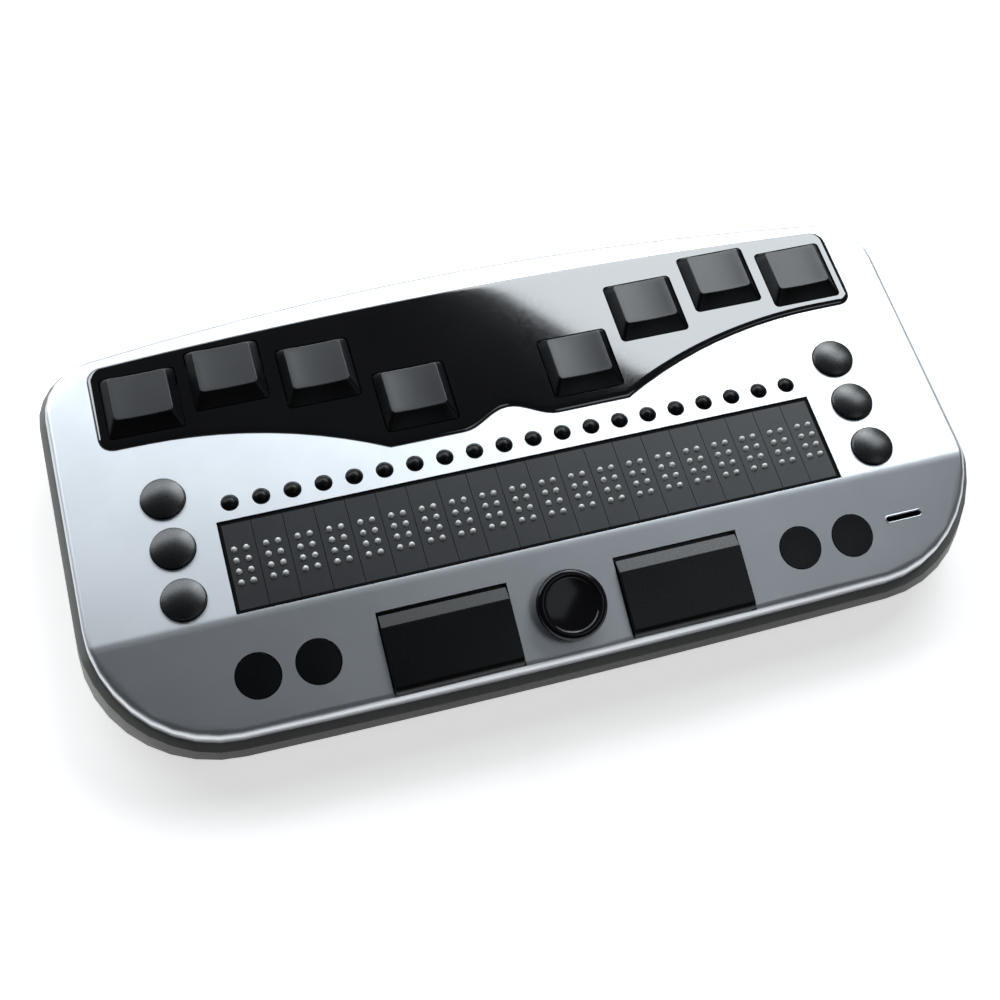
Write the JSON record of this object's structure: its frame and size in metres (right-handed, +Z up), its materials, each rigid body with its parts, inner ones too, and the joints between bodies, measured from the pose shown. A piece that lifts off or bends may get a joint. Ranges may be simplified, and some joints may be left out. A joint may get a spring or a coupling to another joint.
{
  "type": "refreshable braille display",
  "caption": "Portable braille display: low case with a sloping front, a strip of braille cells, braille keys, routing keys, round keys, space bars and a joystick.",
  "frame": {"origin": "on the table under the middle of the case", "axes": "+X to the reader's right along the braille line, +Y to the rear, +Z up"},
  "size_m": [0.1924, 0.0976, 0.0234],
  "materials": {
    "cover_silver": "silver lacquer, satin",
    "base_grey": "fine matt texture",
    "panel_black": "polished",
    "key_charcoal": "matt top, satin sides",
    "button_black": "semi-gloss",
    "cell_charcoal": "matt",
    "pin_white": "satin",
    "module_grey": "moulded",
    "board_green": "solder mask",
    "battery_foil": "foil pouch",
    "socket_steel": "plated",
    "foot_rubber": "matt"
  },
  "bodies": {
    "case": {"top_cover": "cover_silver", "bottom_cover": "base_grey", "key_panel": "panel_black", "cell_caps": "cell_charcoal", "piezo_modules": "module_grey", "main_board": "board_green", "battery_pack": "battery_foil", "usb_socket": "socket_steel", "rubber_feet": "foot_rubber"},
    "braille_key_1": {"braille_key_1": "key_charcoal"},
    "braille_key_2": {"braille_key_2": "key_charcoal"},
    "braille_key_3": {"braille_key_3": "key_charcoal"},
    "braille_key_4": {"braille_key_4": "key_charcoal"},
    "braille_key_5": {"braille_key_5": "key_charcoal"},
    "braille_key_6": {"braille_key_6": "key_charcoal"},
    "braille_key_7": {"braille_key_7": "key_charcoal"},
    "braille_key_8": {"braille_key_8": "key_charcoal"},
    "routing_key_01": {"routing_key_01": "button_black"},
    "routing_key_02": {"routing_key_02": "button_black"},
    "routing_key_03": {"routing_key_03": "button_black"},
    "routing_key_04": {"routing_key_04": "button_black"},
    "routing_key_05": {"routing_key_05": "button_black"},
    "routing_key_06": {"routing_key_06": "button_black"},
    "routing_key_07": {"routing_key_07": "button_black"},
    "routing_key_08": {"routing_key_08": "button_black"},
    "routing_key_09": {"routing_key_09": "button_black"},
    "routing_key_10": {"routing_key_10": "button_black"},
    "routing_key_11": {"routing_key_11": "button_black"},
    "routing_key_12": {"routing_key_12": "button_black"},
    "routing_key_13": {"routing_key_13": "button_black"},
    "routing_key_14": {"routing_key_14": "button_black"},
    "routing_key_15": {"routing_key_15": "button_black"},
    "routing_key_16": {"routing_key_16": "button_black"},
    "routing_key_17": {"routing_key_17": "button_black"},
    "routing_key_18": {"routing_key_18": "button_black"},
    "routing_key_19": {"routing_key_19": "button_black"},
    "routing_key_20": {"routing_key_20": "button_black"},
    "left_key_1": {"left_key_1": "button_black"},
    "left_key_2": {"left_key_2": "button_black"},
    "left_key_3": {"left_key_3": "button_black"},
    "right_key_1": {"right_key_1": "button_black"},
    "right_key_2": {"right_key_2": "button_black"},
    "right_key_3": {"right_key_3": "button_black"},
    "front_key_1": {"front_key_1": "button_black"},
    "front_key_2": {"front_key_2": "button_black"},
    "front_key_3": {"front_key_3": "button_black"},
    "front_key_4": {"front_key_4": "button_black"},
    "left_space_bar": {"left_space_bar": "button_black"},
    "right_space_bar": {"right_space_bar": "button_black"},
    "joystick_plunger": {"joystick_plunger": "module_grey"},
    "joystick_ring": {"joystick_ring": "socket_steel"},
    "joystick_cap": {"joystick_cap": "button_black"},
    "dot_1_pins": {"dot_1_pins": "pin_white"},
    "dot_2_pins": {"dot_2_pins": "pin_white"},
    "dot_3_pins": {"dot_3_pins": "pin_white"},
    "dot_4_pins": {"dot_4_pins": "pin_white"},
    "dot_5_pins": {"dot_5_pins": "pin_white"},
    "dot_6_pins": {"dot_6_pins": "pin_white"},
    "dot_7_pins": {"dot_7_pins": "pin_white"},
    "dot_8_pins": {"dot_8_pins": "pin_white"}
  },
  "joints": [
    {"name": "braille_key_1_press", "type": "slide", "parent": "case", "child": "braille_key_1", "axis": [0, 0, 1], "range_m": [-0.0014, 0], "stiffness_N_per_m": 300, "springref_m": 0.001},
    {"name": "braille_key_2_press", "type": "slide", "parent": "case", "child": "braille_key_2", "axis": [0, 0, 1], "range_m": [-0.0014, 0], "stiffness_N_per_m": 300, "springref_m": 0.001},
    {"name": "braille_key_3_press", "type": "slide", "parent": "case", "child": "braille_key_3", "axis": [0, 0, 1], "range_m": [-0.0014, 0], "stiffness_N_per_m": 300, "springref_m": 0.001},
    {"name": "braille_key_4_press", "type": "slide", "parent": "case", "child": "braille_key_4", "axis": [0, 0, 1], "range_m": [-0.0014, 0], "stiffness_N_per_m": 300, "springref_m": 0.001},
    {"name": "braille_key_5_press", "type": "slide", "parent": "case", "child": "braille_key_5", "axis": [0, 0, 1], "range_m": [-0.0014, 0], "stiffness_N_per_m": 300, "springref_m": 0.001},
    {"name": "braille_key_6_press", "type": "slide", "parent": "case", "child": "braille_key_6", "axis": [0, 0, 1], "range_m": [-0.0014, 0], "stiffness_N_per_m": 300, "springref_m": 0.001},
    {"name": "braille_key_7_press", "type": "slide", "parent": "case", "child": "braille_key_7", "axis": [0, 0, 1], "range_m": [-0.0014, 0], "stiffness_N_per_m": 300, "springref_m": 0.001},
    {"name": "braille_key_8_press", "type": "slide", "parent": "case", "child": "braille_key_8", "axis": [0, 0, 1], "range_m": [-0.0014, 0], "stiffness_N_per_m": 300, "springref_m": 0.001},
    {"name": "routing_key_01_press", "type": "slide", "parent": "case", "child": "routing_key_01", "axis": [0, 0, 1], "range_m": [-0.0005, 0], "stiffness_N_per_m": 300, "springref_m": 0.001},
    {"name": "routing_key_02_press", "type": "slide", "parent": "case", "child": "routing_key_02", "axis": [0, 0, 1], "range_m": [-0.0005, 0], "stiffness_N_per_m": 300, "springref_m": 0.001},
    {"name": "routing_key_03_press", "type": "slide", "parent": "case", "child": "routing_key_03", "axis": [0, 0, 1], "range_m": [-0.0005, 0], "stiffness_N_per_m": 300, "springref_m": 0.001},
    {"name": "routing_key_04_press", "type": "slide", "parent": "case", "child": "routing_key_04", "axis": [0, 0, 1], "range_m": [-0.0005, 0], "stiffness_N_per_m": 300, "springref_m": 0.001},
    {"name": "routing_key_05_press", "type": "slide", "parent": "case", "child": "routing_key_05", "axis": [0, 0, 1], "range_m": [-0.0005, 0], "stiffness_N_per_m": 300, "springref_m": 0.001},
    {"name": "routing_key_06_press", "type": "slide", "parent": "case", "child": "routing_key_06", "axis": [0, 0, 1], "range_m": [-0.0005, 0], "stiffness_N_per_m": 300, "springref_m": 0.001},
    {"name": "routing_key_07_press", "type": "slide", "parent": "case", "child": "routing_key_07", "axis": [0, 0, 1], "range_m": [-0.0005, 0], "stiffness_N_per_m": 300, "springref_m": 0.001},
    {"name": "routing_key_08_press", "type": "slide", "parent": "case", "child": "routing_key_08", "axis": [0, 0, 1], "range_m": [-0.0005, 0], "stiffness_N_per_m": 300, "springref_m": 0.001},
    {"name": "routing_key_09_press", "type": "slide", "parent": "case", "child": "routing_key_09", "axis": [0, 0, 1], "range_m": [-0.0005, 0], "stiffness_N_per_m": 300, "springref_m": 0.001},
    {"name": "routing_key_10_press", "type": "slide", "parent": "case", "child": "routing_key_10", "axis": [0, 0, 1], "range_m": [-0.0005, 0], "stiffness_N_per_m": 300, "springref_m": 0.001},
    {"name": "routing_key_11_press", "type": "slide", "parent": "case", "child": "routing_key_11", "axis": [0, 0, 1], "range_m": [-0.0005, 0], "stiffness_N_per_m": 300, "springref_m": 0.001},
    {"name": "routing_key_12_press", "type": "slide", "parent": "case", "child": "routing_key_12", "axis": [0, 0, 1], "range_m": [-0.0005, 0], "stiffness_N_per_m": 300, "springref_m": 0.001},
    {"name": "routing_key_13_press", "type": "slide", "parent": "case", "child": "routing_key_13", "axis": [0, 0, 1], "range_m": [-0.0005, 0], "stiffness_N_per_m": 300, "springref_m": 0.001},
    {"name": "routing_key_14_press", "type": "slide", "parent": "case", "child": "routing_key_14", "axis": [0, 0, 1], "range_m": [-0.0005, 0], "stiffness_N_per_m": 300, "springref_m": 0.001},
    {"name": "routing_key_15_press", "type": "slide", "parent": "case", "child": "routing_key_15", "axis": [0, 0, 1], "range_m": [-0.0005, 0], "stiffness_N_per_m": 300, "springref_m": 0.001},
    {"name": "routing_key_16_press", "type": "slide", "parent": "case", "child": "routing_key_16", "axis": [0, 0, 1], "range_m": [-0.0005, 0], "stiffness_N_per_m": 300, "springref_m": 0.001},
    {"name": "routing_key_17_press", "type": "slide", "parent": "case", "child": "routing_key_17", "axis": [0, 0, 1], "range_m": [-0.0005, 0], "stiffness_N_per_m": 300, "springref_m": 0.001},
    {"name": "routing_key_18_press", "type": "slide", "parent": "case", "child": "routing_key_18", "axis": [0, 0, 1], "range_m": [-0.0005, 0], "stiffness_N_per_m": 300, "springref_m": 0.001},
    {"name": "routing_key_19_press", "type": "slide", "parent": "case", "child": "routing_key_19", "axis": [0, 0, 1], "range_m": [-0.0005, 0], "stiffness_N_per_m": 300, "springref_m": 0.001},
    {"name": "routing_key_20_press", "type": "slide", "parent": "case", "child": "routing_key_20", "axis": [0, 0, 1], "range_m": [-0.0005, 0], "stiffness_N_per_m": 300, "springref_m": 0.001},
    {"name": "left_key_1_press", "type": "slide", "parent": "case", "child": "left_key_1", "axis": [0, 0, 1], "range_m": [-0.0008, 0], "stiffness_N_per_m": 300, "springref_m": 0.001},
    {"name": "left_key_2_press", "type": "slide", "parent": "case", "child": "left_key_2", "axis": [0, 0, 1], "range_m": [-0.0008, 0], "stiffness_N_per_m": 300, "springref_m": 0.001},
    {"name": "left_key_3_press", "type": "slide", "parent": "case", "child": "left_key_3", "axis": [0, 0, 1], "range_m": [-0.0008, 0], "stiffness_N_per_m": 300, "springref_m": 0.001},
    {"name": "right_key_1_press", "type": "slide", "parent": "case", "child": "right_key_1", "axis": [0, 0, 1], "range_m": [-0.0008, 0], "stiffness_N_per_m": 300, "springref_m": 0.001},
    {"name": "right_key_2_press", "type": "slide", "parent": "case", "child": "right_key_2", "axis": [0, 0, 1], "range_m": [-0.0008, 0], "stiffness_N_per_m": 300, "springref_m": 0.001},
    {"name": "right_key_3_press", "type": "slide", "parent": "case", "child": "right_key_3", "axis": [0, 0, 1], "range_m": [-0.0008, 0], "stiffness_N_per_m": 300, "springref_m": 0.001},
    {"name": "front_key_1_press", "type": "slide", "parent": "case", "child": "front_key_1", "axis": [0, -0.2689, 0.9632], "range_m": [-0.0008, 0], "stiffness_N_per_m": 300, "springref_m": 0.001},
    {"name": "front_key_2_press", "type": "slide", "parent": "case", "child": "front_key_2", "axis": [0, -0.2689, 0.9632], "range_m": [-0.0008, 0], "stiffness_N_per_m": 300, "springref_m": 0.001},
    {"name": "front_key_3_press", "type": "slide", "parent": "case", "child": "front_key_3", "axis": [0, -0.2689, 0.9632], "range_m": [-0.0008, 0], "stiffness_N_per_m": 300, "springref_m": 0.001},
    {"name": "front_key_4_press", "type": "slide", "parent": "case", "child": "front_key_4", "axis": [0, -0.2689, 0.9632], "range_m": [-0.0008, 0], "stiffness_N_per_m": 300, "springref_m": 0.001},
    {"name": "left_space_bar_press", "type": "slide", "parent": "case", "child": "left_space_bar", "axis": [0, -0.2689, 0.9632], "range_m": [-0.0008, 0], "stiffness_N_per_m": 300, "springref_m": 0.001},
    {"name": "right_space_bar_press", "type": "slide", "parent": "case", "child": "right_space_bar", "axis": [0, -0.2689, 0.9632], "range_m": [-0.0008, 0], "stiffness_N_per_m": 300, "springref_m": 0.001},
    {"name": "dot_1_pins_drop", "type": "slide", "parent": "case", "child": "dot_1_pins", "axis": [0, 0, 1], "range_m": [-0.0007, 0], "stiffness_N_per_m": 100, "springref_m": 0.001},
    {"name": "dot_2_pins_drop", "type": "slide", "parent": "case", "child": "dot_2_pins", "axis": [0, 0, 1], "range_m": [-0.0007, 0], "stiffness_N_per_m": 100, "springref_m": 0.001},
    {"name": "dot_3_pins_drop", "type": "slide", "parent": "case", "child": "dot_3_pins", "axis": [0, 0, 1], "range_m": [-0.0007, 0], "stiffness_N_per_m": 100, "springref_m": 0.001},
    {"name": "dot_4_pins_drop", "type": "slide", "parent": "case", "child": "dot_4_pins", "axis": [0, 0, 1], "range_m": [-0.0007, 0], "stiffness_N_per_m": 100, "springref_m": 0.001},
    {"name": "dot_5_pins_drop", "type": "slide", "parent": "case", "child": "dot_5_pins", "axis": [0, 0, 1], "range_m": [-0.0007, 0], "stiffness_N_per_m": 100, "springref_m": 0.001},
    {"name": "dot_6_pins_drop", "type": "slide", "parent": "case", "child": "dot_6_pins", "axis": [0, 0, 1], "range_m": [-0.0007, 0], "stiffness_N_per_m": 100, "springref_m": 0.001},
    {"name": "dot_7_pins_drop", "type": "slide", "parent": "case", "child": "dot_7_pins", "axis": [0, 0, 1], "range_m": [-0.0007, 0], "stiffness_N_per_m": 100, "springref_m": 0.001},
    {"name": "dot_8_pins_drop", "type": "slide", "parent": "case", "child": "dot_8_pins", "axis": [0, 0, 1], "range_m": [-0.0007, 0], "stiffness_N_per_m": 100, "springref_m": 0.001},
    {"name": "joystick_press", "type": "slide", "parent": "case", "child": "joystick_plunger", "axis": [0, -0.2689, 0.9632], "range_m": [-0.0003, 0], "stiffness_N_per_m": 400, "springref_m": 0.001},
    {"name": "joystick_tilt_to_and_fro", "type": "hinge", "parent": "joystick_plunger", "child": "joystick_ring", "pos_m": [0, -0.03541, 0.01392], "axis": [1, 0, 0], "range_deg": [-6, 6], "stiffness_Nm_per_rad": 0.02},
    {"name": "joystick_tilt_sideways", "type": "hinge", "parent": "joystick_ring", "child": "joystick_cap", "pos_m": [0, -0.03541, 0.01392], "axis": [0, 0.9632, 0.2689], "range_deg": [-6, 6], "stiffness_Nm_per_rad": 0.02}
  ]
}
